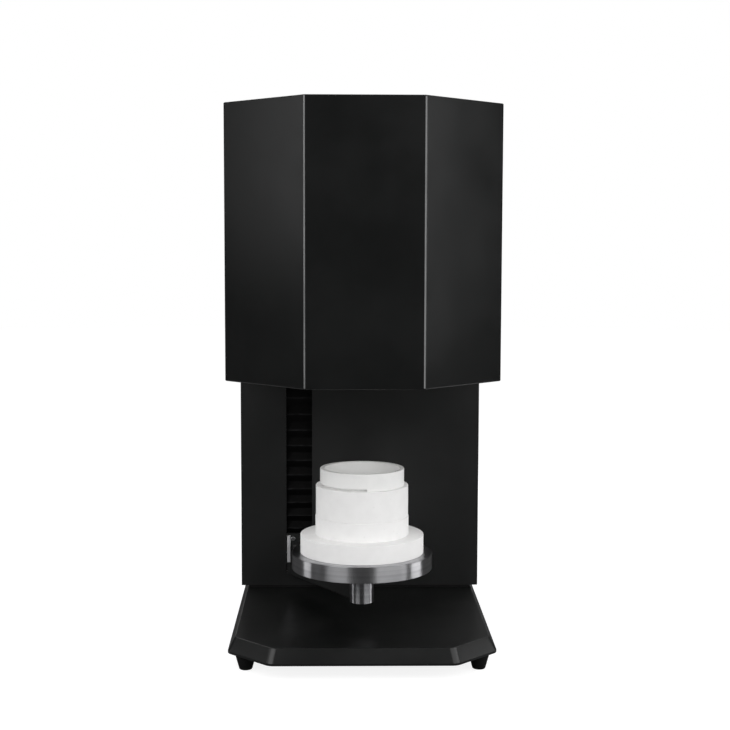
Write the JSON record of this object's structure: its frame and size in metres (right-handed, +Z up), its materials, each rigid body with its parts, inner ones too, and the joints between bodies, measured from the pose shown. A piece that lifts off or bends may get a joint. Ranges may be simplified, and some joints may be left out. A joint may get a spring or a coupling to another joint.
{
  "type": "bottom-loading dental sintering furnace",
  "caption": "Free-standing bottom-loading sintering furnace: faceted black hood over a motor lift whose arm carries a steel plate, white fibre pedestal and crucible.",
  "frame": {"origin": "on the bench under the body, midway across its width and midway along its depth", "axes": "+Z up, +Y towards the rear panel, +X to the right as seen from the front"},
  "size_m": [0.36, 0.517, 0.745],
  "materials": {
    "powder_coat": "fine satin black powder coat",
    "zinc_steel": "zinc plated sheet",
    "stainless": "ground stainless steel",
    "rubber_black": "matt black rubber",
    "black_screw": "blackened steel",
    "bright_screw": "bright zinc",
    "fibre_insulation": "pressed ceramic fibre",
    "white_fibre": "smooth white vacuum-formed fibre",
    "crucible_ceramic": "unglazed white alumina",
    "element_silicide": "dark grey silicide rod",
    "holder_ceramic": "cream steatite",
    "aluminium_plain": "milled aluminium",
    "rail_block_steel": "ground bearing steel",
    "motor_black": "matt black enamel",
    "fan_black": "black moulded plastic",
    "board_green": "green circuit board",
    "inlet_black": "black moulded plastic",
    "rocker_black": "smooth black plastic",
    "bellows_black": "coated black bellows cloth",
    "arm_black": "satin black enamel",
    "turned_steel": "fine turned and polished steel"
  },
  "bodies": {
    "root": {"base_cover": "powder_coat", "base_plate": "zinc_steel", "foot_front_left": "rubber_black", "foot_front_right": "rubber_black", "foot_rear_left": "rubber_black", "foot_rear_right": "rubber_black", "column_gasket": "rubber_black", "frame_posts": "zinc_steel", "column_left_panel": "powder_coat", "column_right_panel": "powder_coat", "column_front_panel": "powder_coat", "rear_panel": "powder_coat", "rear_screws": "black_screw", "hood_shell": "powder_coat", "top_cover": "powder_coat", "hood_bottom_plate": "powder_coat", "furnace_shelf": "zinc_steel", "furnace_can": "stainless", "can_lid": "stainless", "insulation_floor": "fibre_insulation", "insulation_wall": "fibre_insulation", "insulation_roof": "fibre_insulation", "heating_element_1": "element_silicide", "heating_element_2": "element_silicide", "heating_element_3": "element_silicide", "heating_element_4": "element_silicide", "element_holders": "holder_ceramic", "element_straps": "aluminium_plain", "thermocouple": "holder_ceramic", "lift_back_plate": "aluminium_plain", "guide_rails": "stainless", "screw_bearings": "aluminium_plain", "lift_motor": "motor_black", "upper_bellows": "bellows_black", "lower_bellows": "bellows_black", "fan_frame": "motor_black", "fan_guard": "zinc_steel", "power_inlet": "inlet_black", "transformer": "motor_black", "control_board": "board_green", "heat_sink": "aluminium_plain", "power_relay": "motor_black"},
    "lift": {"carriage_plate": "aluminium_plain", "carriage_blocks": "rail_block_steel", "ball_nut": "rail_block_steel", "arm_bracket": "arm_black", "bracket_side_bar": "turned_steel", "bracket_screws": "bright_screw", "lift_arm": "arm_black", "plate_post": "turned_steel", "lift_plate": "turned_steel", "pedestal_disc": "white_fibre", "pedestal_lower_pad": "white_fibre", "pedestal_upper_pad": "white_fibre"},
    "screw": {"ball_screw": "stainless", "shaft_coupling": "aluminium_plain", "motor_shaft": "stainless"},
    "fan": {"fan_rotor": "fan_black"},
    "rocker": {"switch_rocker": "rocker_black"},
    "crucible": {"crucible": "crucible_ceramic"}
  },
  "joints": [
    {"name": "lift_slide", "type": "slide", "parent": "root", "child": "lift", "axis": [0, 0, 1], "range_m": [0, 0.2399], "deforming": ["upper_bellows", "lower_bellows"]},
    {"name": "screw_spin", "type": "hinge", "parent": "root", "child": "screw", "pos_m": [-0.092, 0.1805, 0.25], "axis": [0, 0, 1], "range_deg": [-20, 8656]},
    {"name": "fan_spin", "type": "hinge", "parent": "root", "child": "fan", "pos_m": [0.075, 0.2405, 0.64], "axis": [0, 1, 0], "continuous": true},
    {"name": "power_rocker", "type": "hinge", "parent": "root", "child": "rocker", "pos_m": [0.11, 0.2515, 0.119], "axis": [1, 0, 0], "range_deg": [-16, 0]},
    {"name": "crucible_lift_off", "type": "slide", "parent": "lift", "child": "crucible", "axis": [0, 0, 1], "range_m": [0, 0.025]}
  ],
  "couplings": [
    {"joint": "screw_spin", "follows": "lift_slide", "rad_per_m": 628.32}
  ]
}
